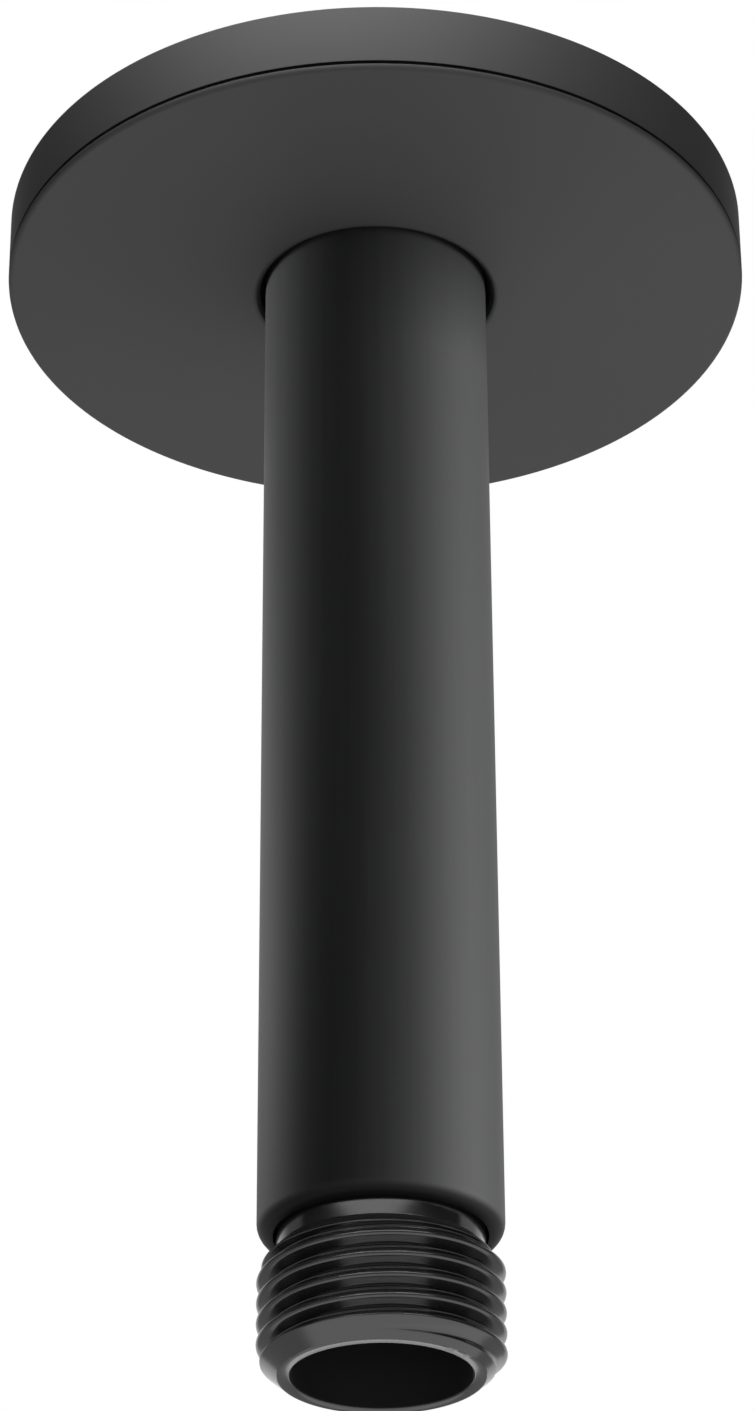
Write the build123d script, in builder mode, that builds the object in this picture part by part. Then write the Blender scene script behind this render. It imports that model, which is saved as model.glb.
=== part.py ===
from build123d import *

import os

# Ceiling shower arm, in millimetres. The ceiling is the plane z = 0. The arm hangs down the Z axis
# from it, and its inlet thread stands up above it.

# G 1/2 threads, as plain blanks at the major diameter
thread_diameter = 20.955
outlet_thread_length = 10.9
inlet_thread_length = 14.0
thread_end_chamfer_width = 1.78
thread_end_chamfer_height = 1.5

# The tube and the flange's hub stop this far short of the ceiling, so that only the rim meets it
ceiling_gap = 0.5

# Tube, drawn to just clear the thread and cut to length, with its lower end rounded
tube_over_thread = 0.0225
tube_wall = 1.4
tube_drop = 103.6
tube_nose_radius = 1.2
tube_top_chamfer = 0.4

# Turned nipples, one soldered into each end of the tube
plug_depth = 1.5
plug_length = 8.0
plug_wall = 1.45
plug_lead_chamfer = 0.5
solder_gap = 0.05
neck_gap = 0.25
neck_length = 1.5
bore_mouth_chamfer = 0.2

# Cover flange, a turned cup that slides on the tube
flange_diameter = 70.0
flange_height = 7.0
flange_face_thickness = 2.0
flange_rim_thickness = 1.8
flange_edge_radius = 0.5
flange_back_chamfer = 0.2
flange_inner_chamfer = 0.8
flange_hole_clearance = 0.15
flange_mouth_radius = 1.2

# Hub round the flange's hole, and the square-cut rubber ring in its groove
hub_wall = 4.0
ring_section = 2.0
ring_clearance = 0.05
ring_lip = 1.15

# Sizes that follow from the ones above
thread_radius = thread_diameter / 2
thread_end_radius = thread_radius - thread_end_chamfer_width
tube_radius = thread_radius + tube_over_thread
tube_inner_radius = tube_radius - tube_wall
plug_radius = tube_inner_radius - solder_gap
bore_radius = plug_radius - plug_wall
neck_radius = tube_inner_radius - neck_gap
thread_start_chamfer = thread_radius - neck_radius

flange_radius = flange_diameter / 2
rim_inner_radius = flange_radius - flange_rim_thickness
face_back = -flange_height + flange_face_thickness
hole_radius = tube_radius + flange_hole_clearance
hub_radius = hole_radius + hub_wall

ring_inner_radius = tube_radius + ring_clearance
groove_radius = ring_inner_radius + ring_section + ring_clearance
groove_width = ring_section + 2 * ring_clearance
ring_height = -ceiling_gap - ring_lip - groove_width / 2


def turn_nipple(tube_end, outward, thread_length):
    """Nipple turned about the Z axis, with a plug inside the tube and a neck and thread outside it.

    tube_end is the height of the tube's end, and outward is 1 for up or -1 for down.
    """
    reach = neck_length + thread_length
    inner_end = -plug_depth - plug_length
    # each corner is a radius and a distance out of the tube's end
    corners = [
        (bore_radius, inner_end),
        (plug_radius - plug_lead_chamfer, inner_end),
        (plug_radius, inner_end + plug_lead_chamfer),
        (plug_radius, -plug_depth),
        (neck_radius, -plug_depth),
        (neck_radius, neck_length),
        (thread_radius, neck_length + thread_start_chamfer),
        (thread_radius, reach - thread_end_chamfer_height),
        (thread_end_radius, reach),
        (bore_radius + bore_mouth_chamfer, reach),
        (bore_radius, reach - bore_mouth_chamfer),
    ]
    with BuildPart() as nipple:
        with BuildSketch(Plane.XZ):
            with BuildLine():
                Polyline([(radius, tube_end + outward * out) for radius, out in corners], close=True)
            make_face()
        revolve(axis=Axis.Z)
    return nipple


def corner_at(section, radius, height):
    """The corner of a half section at this radius and height."""
    return section.vertices().sort_by_distance(Vector(radius, height, 0))[0]


# Tube
with BuildPart() as arm_tube:
    with BuildSketch(Plane.XY.offset(-tube_drop)):
        Circle(tube_radius)
        Circle(tube_inner_radius, mode=Mode.SUBTRACT)
    extrude(amount=tube_drop - ceiling_gap)
    lower_end = arm_tube.faces().sort_by(Axis.Z)[0]
    fillet(lower_end.outer_wire().edges(), tube_nose_radius)
    upper_end = arm_tube.faces().sort_by(Axis.Z)[-1]
    chamfer(upper_end.outer_wire().edges(), tube_top_chamfer)

# Nipples
outlet_nipple = turn_nipple(-tube_drop, -1, outlet_thread_length)
inlet_nipple = turn_nipple(-ceiling_gap, 1, inlet_thread_length)

# Flange
with BuildPart() as flange:
    with BuildSketch(Plane.XZ) as flange_section:
        with BuildLine():
            Polyline(
                (hole_radius, -flange_height),
                (flange_radius, -flange_height),
                (flange_radius, 0),
                (rim_inner_radius, 0),
                (rim_inner_radius, face_back),
                (hub_radius, face_back),
                (hub_radius, -ceiling_gap),
                (hole_radius, -ceiling_gap),
                close=True,
            )
        make_face()
        fillet(corner_at(flange_section, hole_radius, -flange_height), flange_mouth_radius)
        fillet(corner_at(flange_section, flange_radius, -flange_height), flange_edge_radius)
        chamfer(corner_at(flange_section, rim_inner_radius, face_back), flange_inner_chamfer)
        chamfer(corner_at(flange_section, hub_radius, face_back), flange_inner_chamfer)
        chamfer(corner_at(flange_section, flange_radius, 0), flange_back_chamfer)
    revolve(axis=Axis.Z)
    with BuildSketch(Plane.XZ):
        with Locations((tube_radius, ring_height)):
            Rectangle(groove_radius - tube_radius, groove_width, align=(Align.MIN, Align.CENTER))
    revolve(axis=Axis.Z, mode=Mode.SUBTRACT)

# Rubber ring in the hub's groove, which grips the tube and holds the flange up
with BuildPart() as flange_ring:
    with BuildSketch(Plane.XZ):
        with Locations((ring_inner_radius, ring_height)):
            Rectangle(ring_section, ring_section, align=(Align.MIN, Align.CENTER))
    revolve(axis=Axis.Z)

arm_tube.part.label = "arm_tube"
outlet_nipple.part.label = "outlet_nipple"
inlet_nipple.part.label = "inlet_nipple"
flange.part.label = "flange"
flange_ring.part.label = "flange_ring"

os.makedirs("parts", exist_ok=True)
for piece in (arm_tube, outlet_nipple, inlet_nipple, flange, flange_ring):
    export_step(piece.part, f"parts/{piece.part.label}.step")
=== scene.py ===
"""Looks of the ceiling shower arm: its tube, cover flange, rubber ring and two threaded nipples.

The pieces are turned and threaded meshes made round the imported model. Lengths are in metres. The
ceiling is the plane z = 0, and the arm hangs down the Z axis from it.
"""

import math

import bmesh
import bpy
from mathutils import Matrix, Quaternion, Vector


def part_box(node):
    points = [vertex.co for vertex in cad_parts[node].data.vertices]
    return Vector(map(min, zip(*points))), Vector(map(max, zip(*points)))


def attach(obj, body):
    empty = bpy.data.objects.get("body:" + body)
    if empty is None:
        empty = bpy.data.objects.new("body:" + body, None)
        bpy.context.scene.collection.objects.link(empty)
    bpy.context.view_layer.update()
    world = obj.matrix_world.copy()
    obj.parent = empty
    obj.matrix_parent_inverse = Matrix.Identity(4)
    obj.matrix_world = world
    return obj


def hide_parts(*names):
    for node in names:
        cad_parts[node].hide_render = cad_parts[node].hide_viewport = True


MM = 0.001

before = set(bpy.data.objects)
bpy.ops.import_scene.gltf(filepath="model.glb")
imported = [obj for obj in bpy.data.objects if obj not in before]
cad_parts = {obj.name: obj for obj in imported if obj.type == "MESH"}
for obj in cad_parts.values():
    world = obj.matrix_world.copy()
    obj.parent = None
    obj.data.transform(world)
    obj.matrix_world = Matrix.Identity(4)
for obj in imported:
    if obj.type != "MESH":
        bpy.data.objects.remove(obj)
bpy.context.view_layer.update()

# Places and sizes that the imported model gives
tube_low, tube_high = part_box("arm_tube")
flange_low, flange_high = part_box("flange")
ring_low, ring_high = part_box("flange_ring")
outlet_low, outlet_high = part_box("outlet_nipple")
inlet_low, inlet_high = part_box("inlet_nipple")
TUBE_RADIUS = tube_high.x
THREAD_RADIUS = outlet_high.x
FLANGE_RADIUS = flange_high.x
RING_SECTION = ring_high.z - ring_low.z

# Tube
TUBE_WALL = 1.4 * MM
TUBE_NOSE_RADIUS = 1.2 * MM
TUBE_TOP_CHAMFER = 0.4 * MM
TUBE_INNER_RADIUS = TUBE_RADIUS - TUBE_WALL

# Cover flange. A line is turned in its rim, a small step above the face's rounded edge
FACE_THICKNESS = 2.0 * MM
RIM_THICKNESS = 1.8 * MM
FACE_EDGE_RADIUS = 0.5 * MM
BACK_EDGE_RADIUS = 0.2 * MM
LINE_STEP = 0.02 * MM
LINE_WIDTH = 0.38 * MM
LINE_DEPTH = 0.5 * MM
INNER_CORNER = 0.8 * MM
HOLE_CLEARANCE = 0.15 * MM
HOLE_RADIUS = TUBE_RADIUS + HOLE_CLEARANCE
MOUTH_RADIUS = 1.2 * MM
HUB_WALL = 4.0 * MM
RING_CLEARANCE = 0.05 * MM

# Nipples and their G 1/2 threads. The first crest is measured from the tube's end, at the front
SOLDER_GAP = 0.05 * MM
NECK_GAP = 0.25 * MM
PLUG_DEPTH = 1.5 * MM
PLUG_WALL = 1.45 * MM
PLUG_LEAD = 0.5 * MM
NECK_LENGTH = 1.5 * MM
BORE_MOUTH = 0.2 * MM
THREAD_END_WIDTH = 1.78 * MM
THREAD_END_HEIGHT = 1.5 * MM
THREAD_PITCH = 25.4 / 14 * MM
THREAD_HALF_ANGLE = math.radians(27.5)
SHARP_THREAD_HEIGHT = THREAD_PITCH / 2 / math.tan(THREAD_HALF_ANGLE)
FIRST_CREST = 1.95 * MM
PLUG_RADIUS = TUBE_INNER_RADIUS - SOLDER_GAP
NECK_RADIUS = TUBE_INNER_RADIUS - NECK_GAP
BORE_RADIUS = PLUG_RADIUS - PLUG_WALL
THREAD_END_RADIUS = THREAD_RADIUS - THREAD_END_WIDTH

# How finely the meshes are turned
TURN_STEPS = 256
THREAD_STEPS = 128
CORNER_SEGMENTS = 8
EDGE_SEGMENTS = 3
THREAD_ARC_SEGMENTS = 6
FLANK_CUTS = 5
BROKEN_EDGE = 0.06 * MM
MERGE_DISTANCE = 0.002 * MM
JOIN_GAP = 0.05 * MM

# The coats' plain greys, and the depth of their fine bumps
TUBE_GREY = 0.043
TUBE_TINT = (0.975, 1.0, 0.99)
# painted light: the cover's grey is lighter than the tube's, though both are the same satin black
# coat
COVER_GREY_WITH_PAINTED_LIGHT = 0.112
GLOSS_GREY = 0.033
RUBBER_GREY = 0.018
BUMP_DEPTH = 0.02 * MM

# The camera, where the photograph was taken from
PHOTO_HEIGHT = 1411
FOCAL_PIXELS = 4207
SENSOR_WIDTH = 36
CAMERA_DISTANCE = 0.380
CAMERA_PITCH = math.radians(29.886)
CAMERA_ROLL = math.radians(-0.33)
CAMERA_TARGET = Vector((-0.00008, 0, -0.0519))

# The floor: its place, its grey, and how white it looks to the camera and in what mirrors it
FLOOR_HEIGHT = -1.5
FLOOR_SIZE = 12.0
FLOOR_GREY = 0.82
FLOOR_WHITE = 0.95
FLOOR_MIRRORED = 0.25

# The light of the room and of the backdrop, which fades in between two values of a direction's Y
ROOM_LEVEL = 0.03
BACKDROP_LEVEL = 0.5
BACKDROP_START = 0.5
BACKDROP_END = 0.95

# What the lamps point at
TUBE_MIDDLE = Vector((0, 0, -0.055))
TUBE_TOP = Vector((0, 0, -0.004))
COVER_MIDDLE = Vector((0, 0, 0))
RIM_FRONT = Vector((-0.002, -0.035, -0.004))
OUTLET_NECK = Vector((0, 0, -0.105))


class Signal:
    """One output of a shader node. Arithmetic on it adds Math nodes to its tree."""

    def __init__(self, tree, socket):
        self.tree = tree
        self.socket = socket

    def maths(self, operation, *values):
        return self.tree.add("ShaderNodeMath", {"operation": operation}, *values)["Value"]

    def __add__(self, other):
        return self.maths("ADD", self, other)

    def __radd__(self, other):
        return self.maths("ADD", other, self)

    def __sub__(self, other):
        return self.maths("SUBTRACT", self, other)

    def __rsub__(self, other):
        return self.maths("SUBTRACT", other, self)

    def __mul__(self, other):
        return self.maths("MULTIPLY", self, other)

    def __rmul__(self, other):
        return self.maths("MULTIPLY", other, self)

    def __pow__(self, other):
        return self.maths("POWER", self, other)

    def above(self, floor):
        """This value, or the floor where it is lower."""
        return self.maths("MAXIMUM", self, floor)

    def below(self, roof):
        """This value, or the roof where it is higher."""
        return self.maths("MINIMUM", self, roof)


class NodeTree:
    """A shader tree that starts empty and grows one node at a time."""

    def __init__(self, owner):
        owner.use_nodes = True
        self.tree = owner.node_tree
        self.tree.nodes.clear()

    def add(self, kind, settings=None, *values, **named):
        """Adds a node, sets it up, then fills its sockets by position or by name."""
        node = self.tree.nodes.new(kind)
        for setting, value in (settings or {}).items():
            setattr(node, setting, value)
        for key, value in [*enumerate(values), *named.items()]:
            socket = node.inputs[key if isinstance(key, int) else key.replace("_", " ")]
            if isinstance(value, Signal):
                self.tree.links.new(value.socket, socket)
            else:
                socket.default_value = value
        return {socket.name: Signal(self, socket) for socket in node.outputs}


def new_material(name):
    """A material and its empty tree."""
    material = bpy.data.materials.new(name)
    return material, NodeTree(material)


def piece_point(tree, stretch=(1, 1, 1)):
    """The point on the piece in its own coordinates, scaled along each axis."""
    point = tree.add("ShaderNodeTexCoord")["Object"]
    return tree.add("ShaderNodeMapping", None, Vector=point, Scale=stretch)["Vector"]


def noise(tree, point, scale, detail=2.0):
    """Smooth noise on both sides of 0."""
    return tree.add("ShaderNodeTexNoise", None, Vector=point, Scale=scale, Detail=detail)["Fac"] - 0.5


def grey(tree, level, tint=(1.0, 1.0, 1.0)):
    """A grey of this level, tinted."""
    channels = [level * part for part in tint]
    return tree.add("ShaderNodeCombineColor", None, *channels)["Color"]


def ramp(value, start, end):
    """0 up to the start, 1 from the end on, and even in between."""
    return ((value - start) * (1 / (end - start))).above(0.0).below(1.0)


def radius_and_height(tree):
    """The distance of the point on the piece from the Z axis, and its height."""
    place = tree.add("ShaderNodeSeparateXYZ", None, piece_point(tree))
    return (place["X"] ** 2.0 + place["Y"] ** 2.0) ** 0.5, place["Z"]


def darken(level, mask, share):
    """Takes this share off the level where the mask is 1."""
    return level * (1.0 - mask * share)


def fine_bumps(tree, strength, height):
    """The normal of a surface with shallow bumps."""
    bump = tree.add("ShaderNodeBump", None, Strength=strength, Distance=BUMP_DEPTH, Height=height)
    return bump["Normal"]


def finish_coat(tree, **sockets):
    """Ends the tree in one shader with these values and links."""
    coat = tree.add("ShaderNodeBsdfPrincipled", None, **sockets)
    tree.add("ShaderNodeOutputMaterial", None, Surface=coat["BSDF"])


def make_tube_coat():
    """Satin black coat on the drawn tube, with faint streaks along it and a fine grain.

    The coat is painted dark round the rolled lower end: painted shade there.
    """
    material, tree = new_material("satin_black_tube_coat")
    height = tree.add("ShaderNodeSeparateXYZ", None, piece_point(tree))["Z"]
    # painted shade: the rolled lower end of the tube is darkened
    painted_nose_shade = ramp(height, tube_low.z + 0.8 * MM, tube_low.z + 0.4 * MM)
    streaks = noise(tree, piece_point(tree, stretch=(1, 1, 0.02)), scale=1400, detail=3.0)
    cloud = noise(tree, piece_point(tree), scale=60)
    grain = noise(tree, piece_point(tree), scale=9000)
    level = darken(TUBE_GREY + streaks * 0.014 + cloud * 0.006, painted_nose_shade, share=0.93)
    finish_coat(
        tree,
        Base_Color=grey(tree, level, TUBE_TINT),
        Roughness=0.6 + streaks * 0.06 + cloud * 0.05,
        IOR=1.4,
        Normal=fine_bumps(tree, strength=0.08, height=streaks + grain * 0.5),
    )
    return material


def make_cover_coat():
    """Satin black coat on the turned cover, more even than the tube's and painted a lighter grey as
    painted light.

    The coat is painted dark, as painted shade, in the line turned in the rim and in the rolled-in
    hole.
    The same painted shade lies on the outer part of the rim's back too, which lies as far out as the
    line and meets the ceiling.
    """
    material, tree = new_material("satin_black_cover_coat")
    radius, height = radius_and_height(tree)
    line_floor = FLANGE_RADIUS - LINE_DEPTH
    edge_top = flange_low.z + FACE_EDGE_RADIUS
    # painted shade in the line turned in the rim, which also covers the outer part of the rim's back
    line = (
        ramp(radius, line_floor - 0.1 * MM, line_floor - 0.05 * MM)
        * ramp(radius, FLANGE_RADIUS - 0.02 * MM, FLANGE_RADIUS - 0.06 * MM)
        * ramp(height, edge_top, edge_top + LINE_STEP)
    )
    # painted shade in the rolled-in hole, where the coat is also made glossier
    mouth_shade_and_gloss = ramp(radius, HOLE_RADIUS + 1.1 * MM, HOLE_RADIUS + 0.6 * MM)
    # both painted shades together darken the cover's grey
    painted_shade = (line + mouth_shade_and_gloss).below(1.0)
    cloud = noise(tree, piece_point(tree), scale=45, detail=3.0)
    grain = noise(tree, piece_point(tree), scale=7000)
    finish_coat(
        tree,
        Base_Color=grey(tree, darken(COVER_GREY_WITH_PAINTED_LIGHT + cloud * 0.017 + grain * 0.017, painted_shade, share=0.97)),
        Roughness=0.62 + cloud * 0.06 - mouth_shade_and_gloss * 0.45,
        IOR=1.35,
        Normal=fine_bumps(tree, strength=0.06, height=grain),
    )
    return material


def make_gloss_coat():
    """Thinner, glossier black coat on the turned threads, with fine rings left by the tool.

    It is painted dark inside the bore, as painted shade, and is dull there.
    """
    material, tree = new_material("gloss_black_coat")
    radius, _ = radius_and_height(tree)
    # painted shade: the bore's inside is darkened, and made rougher
    bore_shade_and_dullness = ramp(radius, BORE_RADIUS + 0.15 * MM, BORE_RADIUS + 0.05 * MM)
    rings = noise(tree, piece_point(tree, stretch=(0.05, 0.05, 1)), scale=5000)
    speckle = noise(tree, piece_point(tree), scale=2600, detail=3.0)
    finish_coat(
        tree,
        Base_Color=grey(tree, darken(GLOSS_GREY + speckle * 0.012, bore_shade_and_dullness, share=0.93)),
        Roughness=0.17 + speckle * 0.06 + bore_shade_and_dullness * 0.4,
        IOR=2.06,
        Normal=fine_bumps(tree, strength=0.06, height=rings + speckle * 0.4),
    )
    return material


def make_rubber():
    """Dull black rubber."""
    material, tree = new_material("black_rubber")
    grain = noise(tree, piece_point(tree), scale=3000, detail=3.0)
    finish_coat(
        tree,
        Base_Color=grey(tree, RUBBER_GREY + grain * 0.008),
        Roughness=0.75 + grain * 0.1,
        IOR=1.5,
    )
    return material


def new_object(name, mesh_builder, material):
    """Puts the mesh into the scene as an object of this material."""
    mesh = bpy.data.meshes.new(name)
    mesh_builder.to_mesh(mesh)
    mesh_builder.free()
    mesh.materials.append(material)
    thing = bpy.data.objects.new(name, mesh)
    bpy.context.scene.collection.objects.link(thing)
    return thing


def add_piece(name, mesh_builder, material, body, node):
    """Makes the mesh a piece that stands for a CAD node and rides on its body."""
    bmesh.ops.remove_doubles(mesh_builder, verts=mesh_builder.verts, dist=MERGE_DISTANCE)
    bmesh.ops.recalc_face_normals(mesh_builder, faces=mesh_builder.faces)
    for face in mesh_builder.faces:
        face.smooth = True
    piece = new_object(name, mesh_builder, material)
    weights = piece.modifiers.new("flat_faces_stay_flat", "WEIGHTED_NORMAL")
    weights.mode = "FACE_AREA"
    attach(piece, body)
    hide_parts(node)
    return piece


def round_corners(mesh_builder, points, reach, segments):
    """Replaces corners of a wire outline by arcs that start this far from them."""
    bmesh.ops.bevel(
        mesh_builder,
        geom=points,
        offset=reach,
        offset_type="OFFSET",
        segments=segments,
        profile=0.5,
        affect="VERTICES",
        material=-1,
    )


def draw_outline(mesh_builder, corners, closed=True):
    """Draws a half section in the plane y = 0. A corner is a radius, a height and a rounding."""
    points = [mesh_builder.verts.new((radius, 0, height)) for radius, height, _ in corners]
    ends = points[1:] + points[:1] if closed else points[1:]
    for start, end in zip(points, ends):
        mesh_builder.edges.new((start, end))
    for point, (_, _, rounding) in zip(points, corners):
        if rounding:
            segments = EDGE_SEGMENTS if rounding <= BROKEN_EDGE else CORNER_SEGMENTS
            round_corners(mesh_builder, [point], rounding, segments)


def turn_outline(mesh_builder, steps):
    """Turns the wire outline once round the Z axis."""
    bmesh.ops.spin(
        mesh_builder,
        geom=mesh_builder.verts[:] + mesh_builder.edges[:],
        cent=(0, 0, 0),
        axis=(0, 0, 1),
        angle=2 * math.pi,
        steps=steps,
        use_merge=True,
    )


def build_tube(material):
    """Drawn tube with a rounded lower end."""
    mesh_builder = bmesh.new()
    corners = [
        (TUBE_RADIUS, tube_low.z, TUBE_NOSE_RADIUS),
        (TUBE_RADIUS, tube_high.z - TUBE_TOP_CHAMFER, BROKEN_EDGE),
        (TUBE_RADIUS - TUBE_TOP_CHAMFER, tube_high.z, BROKEN_EDGE),
        (TUBE_INNER_RADIUS, tube_high.z, BROKEN_EDGE),
        (TUBE_INNER_RADIUS, tube_low.z, BROKEN_EDGE),
    ]
    draw_outline(mesh_builder, corners)
    turn_outline(mesh_builder, TURN_STEPS)
    return add_piece("drawn_tube", mesh_builder, material, "arm", "arm_tube")


def build_flange(material):
    """Hollow cover with a small rounded edge, a rolled-in hole and a grooved hub behind it."""
    hub_radius = HOLE_RADIUS + HUB_WALL
    rim_inner_radius = FLANGE_RADIUS - RIM_THICKNESS
    face_back = flange_low.z + FACE_THICKNESS
    groove_radius = ring_high.x + RING_CLEARANCE
    groove_low = ring_low.z - RING_CLEARANCE
    groove_high = ring_high.z + RING_CLEARANCE
    line_low = flange_low.z + FACE_EDGE_RADIUS + LINE_STEP
    line_high = line_low + LINE_WIDTH
    mesh_builder = bmesh.new()
    corners = [
        (HOLE_RADIUS, flange_low.z, MOUTH_RADIUS),
        (FLANGE_RADIUS, flange_low.z, FACE_EDGE_RADIUS),
        (FLANGE_RADIUS, line_low, 0),
        (FLANGE_RADIUS - LINE_DEPTH, line_low, 0),
        (FLANGE_RADIUS - LINE_DEPTH, line_high, 0),
        (FLANGE_RADIUS, line_high, 0),
        (FLANGE_RADIUS, flange_high.z, BACK_EDGE_RADIUS),
        (rim_inner_radius, flange_high.z, BROKEN_EDGE),
        (rim_inner_radius, face_back, INNER_CORNER),
        (hub_radius, face_back, INNER_CORNER),
        (hub_radius, tube_high.z, BROKEN_EDGE),
        (HOLE_RADIUS, tube_high.z, BROKEN_EDGE),
        (HOLE_RADIUS, groove_high, BROKEN_EDGE),
        (groove_radius, groove_high, 0),
        (groove_radius, groove_low, 0),
        (HOLE_RADIUS, groove_low, BROKEN_EDGE),
    ]
    draw_outline(mesh_builder, corners)
    turn_outline(mesh_builder, TURN_STEPS)
    return add_piece("cover_flange", mesh_builder, material, "cover", "flange")


def build_ring(material):
    """Square-cut rubber ring in the hub's groove."""
    inner_radius = ring_high.x - RING_SECTION
    mesh_builder = bmesh.new()
    corners = [
        (inner_radius, ring_low.z, BROKEN_EDGE),
        (ring_high.x, ring_low.z, BROKEN_EDGE),
        (ring_high.x, ring_high.z, BROKEN_EDGE),
        (inner_radius, ring_high.z, BROKEN_EDGE),
    ]
    draw_outline(mesh_builder, corners)
    turn_outline(mesh_builder, TURN_STEPS)
    return add_piece("grip_ring", mesh_builder, material, "seal", "flange_ring")


def cut_thread(mesh_builder, reach):
    """Right-hand thread round the Z axis, from below the neck's end to past this reach.

    One turn's profile stands in the plane that faces the camera. It is the sharp V of the thread
    with its corners rounded.
    """
    crest_radius = THREAD_RADIUS + SHARP_THREAD_HEIGHT / 6
    root_radius = crest_radius - SHARP_THREAD_HEIGHT
    middle_radius = (crest_radius + root_radius) / 2
    lowest_crest = FIRST_CREST - 3 * THREAD_PITCH
    turns = math.ceil((reach - lowest_crest) / THREAD_PITCH) + 1

    # half a flank out to the crest, a whole one in to the root, and half a flank out again
    heights = [lowest_crest + quarter * THREAD_PITCH / 4 for quarter in (-1, 0, 2, 3)]
    radii = [middle_radius, crest_radius, root_radius, middle_radius]
    points = [mesh_builder.verts.new((0, -radius, height)) for radius, height in zip(radii, heights)]
    for pair in zip(points, points[1:]):
        mesh_builder.edges.new(pair)

    # each arc takes a sixth of the sharp height off its corner
    arc_reach = SHARP_THREAD_HEIGHT / 6 / (2 - math.sqrt(2)) / math.cos(THREAD_HALF_ANGLE)
    round_corners(mesh_builder, points[1:3], arc_reach, THREAD_ARC_SEGMENTS)
    flanks = [edge for edge in mesh_builder.edges if edge.calc_length() > arc_reach / 2]
    bmesh.ops.subdivide_edges(mesh_builder, edges=flanks, cuts=FLANK_CUTS)
    bmesh.ops.spin(
        mesh_builder,
        geom=mesh_builder.verts[:] + mesh_builder.edges[:],
        cent=(0, 0, 0),
        axis=(0, 0, 1),
        dvec=(0, 0, THREAD_PITCH / THREAD_STEPS),
        angle=2 * math.pi,
        steps=THREAD_STEPS,
        use_merge=False,
    )
    first_turn = mesh_builder.verts[:] + mesh_builder.edges[:] + mesh_builder.faces[:]
    for turn in range(1, turns):
        copy = bmesh.ops.duplicate(mesh_builder, geom=first_turn)
        copied = [part for part in copy["geom"] if isinstance(part, bmesh.types.BMVert)]
        bmesh.ops.translate(mesh_builder, verts=copied, vec=(0, 0, turn * THREAD_PITCH))
    bmesh.ops.remove_doubles(mesh_builder, verts=mesh_builder.verts, dist=MERGE_DISTANCE)


def trim_thread(mesh_builder, reach):
    """Cuts the thread off square at the neck's end and at its own end."""
    for height, upward in ((NECK_LENGTH, -1), (reach, 1)):
        bmesh.ops.bisect_plane(
            mesh_builder,
            geom=mesh_builder.verts[:] + mesh_builder.edges[:] + mesh_builder.faces[:],
            plane_co=(0, 0, height),
            plane_no=(0, 0, upward),
            clear_outer=True,
        )


def turn_down(mesh_builder, reach):
    """Turns the thread down to the blank's outline: its start by the neck and its end chamfer."""
    for vert in mesh_builder.verts:
        limit = min(
            THREAD_RADIUS,
            NECK_RADIUS + vert.co.z - NECK_LENGTH,
            THREAD_END_RADIUS + (reach - vert.co.z) * THREAD_END_WIDTH / THREAD_END_HEIGHT,
        )
        radius = math.hypot(vert.co.x, vert.co.y)
        if radius > limit:
            vert.co.x *= limit / radius
            vert.co.y *= limit / radius


def rim_edges(mesh_builder, height):
    """The open edges of the mesh on both sides of the gap at this height."""
    return [
        edge
        for edge in mesh_builder.edges
        if edge.is_boundary and all(abs(vert.co.z - height) < 2 * JOIN_GAP for vert in edge.verts)
    ]


def build_nipple(name, material, node, reach, depth, place):
    """Turned nipple: a plug in the tube, a neck, a thread and an open bore.

    It is made standing up with the tube's end at z = 0, from the depth below it to the reach above
    it, and then moved into its place.
    """
    mesh_builder = bmesh.new()
    cut_thread(mesh_builder, reach)
    trim_thread(mesh_builder, reach)
    turn_down(mesh_builder, reach)

    # the plain part starts on the end face and stops on the neck, a small gap short of the thread
    plain = bmesh.new()
    corners = [
        (THREAD_END_RADIUS - JOIN_GAP, reach, 0),
        (BORE_RADIUS + BORE_MOUTH, reach, 0),
        (BORE_RADIUS, reach - BORE_MOUTH, 0),
        (BORE_RADIUS, -depth, BROKEN_EDGE),
        (PLUG_RADIUS - PLUG_LEAD, -depth, BROKEN_EDGE),
        (PLUG_RADIUS, PLUG_LEAD - depth, BROKEN_EDGE),
        (PLUG_RADIUS, -PLUG_DEPTH, 0),
        (NECK_RADIUS, -PLUG_DEPTH, 0),
        (NECK_RADIUS, NECK_LENGTH - JOIN_GAP, 0),
    ]
    draw_outline(plain, corners, closed=False)
    turn_outline(plain, THREAD_STEPS)
    plain_mesh = bpy.data.meshes.new("plain_part")
    plain.to_mesh(plain_mesh)
    plain.free()
    mesh_builder.from_mesh(plain_mesh)
    bpy.data.meshes.remove(plain_mesh)
    for height in (NECK_LENGTH, reach):
        bmesh.ops.bridge_loops(mesh_builder, edges=rim_edges(mesh_builder, height))
    bmesh.ops.transform(mesh_builder, matrix=place, verts=mesh_builder.verts)
    return add_piece(name, mesh_builder, material, "arm", node)


def aim(location, target, roll=0.0):
    """The turn that points a camera or lamp from a location at a target."""
    return (target - location).to_track_quat("-Z", "Y") @ Quaternion((0, 0, 1), roll)


def add_camera():
    """The photograph's camera: below the arm, looking up at it."""
    data = bpy.data.cameras.new("photo_camera")
    data.sensor_width = SENSOR_WIDTH
    data.lens = FOCAL_PIXELS / PHOTO_HEIGHT * SENSOR_WIDTH
    data.clip_start = 0.01
    camera = bpy.data.objects.new("photo_camera", data)
    backward = Vector((0, -math.cos(CAMERA_PITCH), -math.sin(CAMERA_PITCH)))
    camera.location = CAMERA_TARGET + backward * CAMERA_DISTANCE
    camera.rotation_mode = "QUATERNION"
    camera.rotation_quaternion = aim(camera.location, CAMERA_TARGET, CAMERA_ROLL)
    bpy.context.scene.collection.objects.link(camera)
    bpy.context.scene.camera = camera


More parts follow.
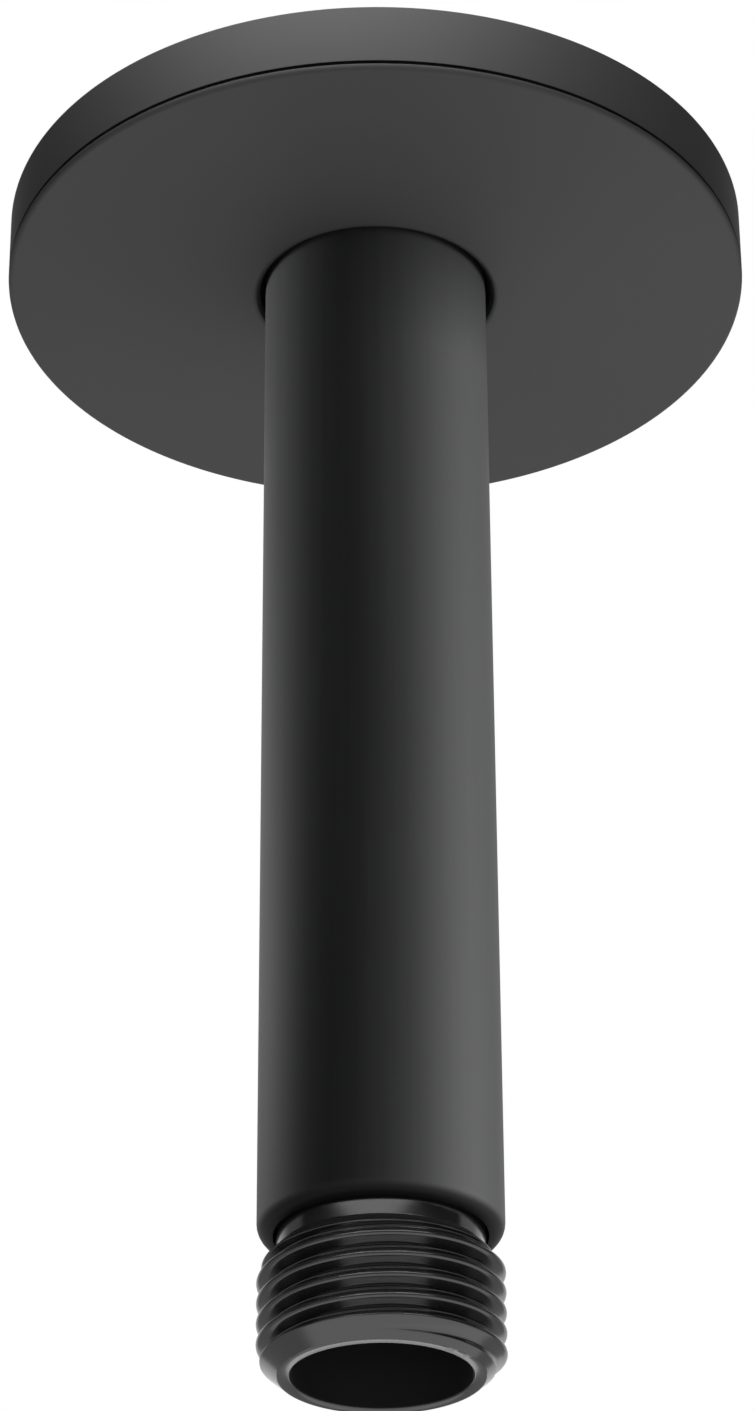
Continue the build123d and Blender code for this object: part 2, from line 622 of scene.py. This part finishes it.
def add_panel(name, location, target, width, height, radiance, pieces=(), spread=180):
    """A soft rectangular lamp that the camera doesn't see. It lights these pieces, or everything.

    The spread is in degrees, and 180 is the widest.
    """
    data = bpy.data.lights.new(name, "AREA")
    data.shape = "RECTANGLE"
    data.size = width
    data.size_y = height
    data.energy = radiance * math.pi * width * height
    data.spread = math.radians(spread)
    panel = bpy.data.objects.new(name, data)
    panel.location = location
    panel.rotation_mode = "QUATERNION"
    panel.rotation_quaternion = aim(panel.location, target)
    panel.visible_camera = False
    bpy.context.scene.collection.objects.link(panel)
    if pieces:
        lit = bpy.data.collections.new(name + "_pieces")
        for piece in pieces:
            lit.objects.link(piece)
        panel.light_linking.receiver_collection = lit


def make_pale_floor():
    """Pale floor that looks nearly white to the camera, and dimmer in what mirrors it."""
    material, tree = new_material("pale_floor")
    rays = tree.add("ShaderNodeLightPath")
    mirrored = (rays["Is Glossy Ray"] + rays["Is Transmission Ray"]) * FLOOR_MIRRORED
    seen = (rays["Is Camera Ray"] * FLOOR_WHITE + mirrored).below(FLOOR_WHITE)
    matt = tree.add("ShaderNodeBsdfDiffuse", None, Color=(FLOOR_GREY, FLOOR_GREY, FLOOR_GREY, 1))
    glow = tree.add("ShaderNodeEmission", None, Color=(1, 1, 1, 1), Strength=1.0)
    surface = tree.add("ShaderNodeMixShader", None, seen, matt["BSDF"], glow["Emission"])
    tree.add("ShaderNodeOutputMaterial", None, Surface=surface["Shader"])
    return material


def add_floor():
    """A plain pale floor far below the ceiling."""
    mesh_builder = bmesh.new()
    bmesh.ops.create_grid(mesh_builder, x_segments=1, y_segments=1, size=FLOOR_SIZE / 2)
    floor = new_object("floor", mesh_builder, make_pale_floor())
    floor.location = (0, 0, FLOOR_HEIGHT)


def light_the_room():
    """A dim room with a pale backdrop behind the object.

    The camera sees white all round, and what mirrors the backdrop sees it white.
    """
    world = bpy.data.worlds.new("studio")
    bpy.context.scene.world = world
    tree = NodeTree(world)
    direction = tree.add("ShaderNodeTexCoord")["Generated"]
    back = tree.add("ShaderNodeSeparateXYZ", None, direction)["Y"]
    backdrop = ramp(back, BACKDROP_START, BACKDROP_END)
    rays = tree.add("ShaderNodeLightPath")
    mirrored = (rays["Is Glossy Ray"] + rays["Is Transmission Ray"]) * backdrop
    white = (rays["Is Camera Ray"] + mirrored).below(1.0)
    room = ROOM_LEVEL + backdrop * BACKDROP_LEVEL
    strength = white + (1.0 - white) * room
    background = tree.add("ShaderNodeBackground", None, Color=(1, 1, 1, 1), Strength=strength)
    tree.add("ShaderNodeOutputWorld", None, Surface=background["Background"])


def place_at(azimuth, elevation, distance):
    """A place round the middle of the tube. Azimuth 0 is in front, and 90 is on the right."""
    turn = math.radians(azimuth)
    rise = math.radians(elevation)
    across = distance * math.cos(rise)
    up = distance * math.sin(rise)
    return Vector((across * math.sin(turn), -across * math.cos(turn), up)) + TUBE_MIDDLE


def light_all_round():
    """A wide lamp low down and a small one high above light every piece."""
    add_panel(
        "low_panel",
        location=Vector((0.25, 0, -0.6)),
        target=Vector((0.25, 0, 0)),
        width=1.3,
        height=1.2,
        radiance=0.42,
    )
    add_panel(
        "top_panel",
        location=Vector((0, 0, 0.45)),
        target=COVER_MIDDLE,
        width=0.28,
        height=0.28,
        radiance=5.0,
    )


def light_tube(tube):
    """Lamps at both sides light the tube alone, as they would glare in the glossy threads."""
    add_panel(
        "tube_right_panel",
        location=place_at(azimuth=80, elevation=4, distance=0.6),
        target=TUBE_MIDDLE,
        width=0.6,
        height=0.5,
        radiance=6.3,
        pieces=[tube],
    )
    add_panel(
        "tube_left_panel",
        location=place_at(azimuth=-113, elevation=6, distance=0.2),
        target=TUBE_TOP,
        width=0.16,
        height=0.06,
        radiance=2.9,
        pieces=[tube],
        spread=70,
    )


def light_cover(cover):
    """A small lamp close to the rim's front and a wide one below light the cover alone."""
    add_panel(
        "rim_panel",
        location=Vector((-0.006, -0.060, 0.016)),
        target=RIM_FRONT,
        width=0.064,
        height=0.016,
        radiance=4.8,
        pieces=[cover],
    )
    add_panel(
        "face_panel",
        location=Vector((0.15, 0.25, -0.6)),
        target=COVER_MIDDLE,
        width=0.8,
        height=0.6,
        radiance=0.7,
        pieces=[cover],
    )


def light_threads(threads):
    """Long flat lamps light the threads alone, and show in their gloss and on their necks."""
    strips = [
        ("neck_front_panel", (-0.063, -0.45, 0.07), 1.44, 0.07, 1.25),
        ("thread_front_panel", (0.02, -0.335, 0.262), 0.7, 0.09, 3.6),
        ("neck_right_panel", (0.284, 0.305, 0.064), 0.7, 0.12, 0.4),
        ("neck_left_panel", (-0.279, 0.310, 0.064), 0.75, 0.12, 0.22),
    ]
    for name, location, width, height, radiance in strips:
        add_panel(name, Vector(location), OUTLET_NECK, width, height, radiance, threads)


add_camera()
gloss_coat = make_gloss_coat()
tube = build_tube(make_tube_coat())
cover = build_flange(make_cover_coat())
build_ring(make_rubber())
inlet = build_nipple(
    "inlet_thread",
    gloss_coat,
    "inlet_nipple",
    reach=inlet_high.z - tube_high.z,
    depth=tube_high.z - inlet_low.z,
    place=Matrix.Translation((0, 0, tube_high.z)),
)
outlet = build_nipple(
    "outlet_thread",
    gloss_coat,
    "outlet_nipple",
    reach=tube_low.z - outlet_low.z,
    depth=outlet_high.z - tube_low.z,
    place=Matrix.Translation((0, 0, tube_low.z)) @ Matrix.Rotation(math.pi, 4, "Y"),
)

light_the_room()
add_floor()
light_all_round()
light_tube(tube)
light_cover(cover)
light_threads([inlet, outlet])
bpy.context.scene.view_settings.view_transform = "Standard"
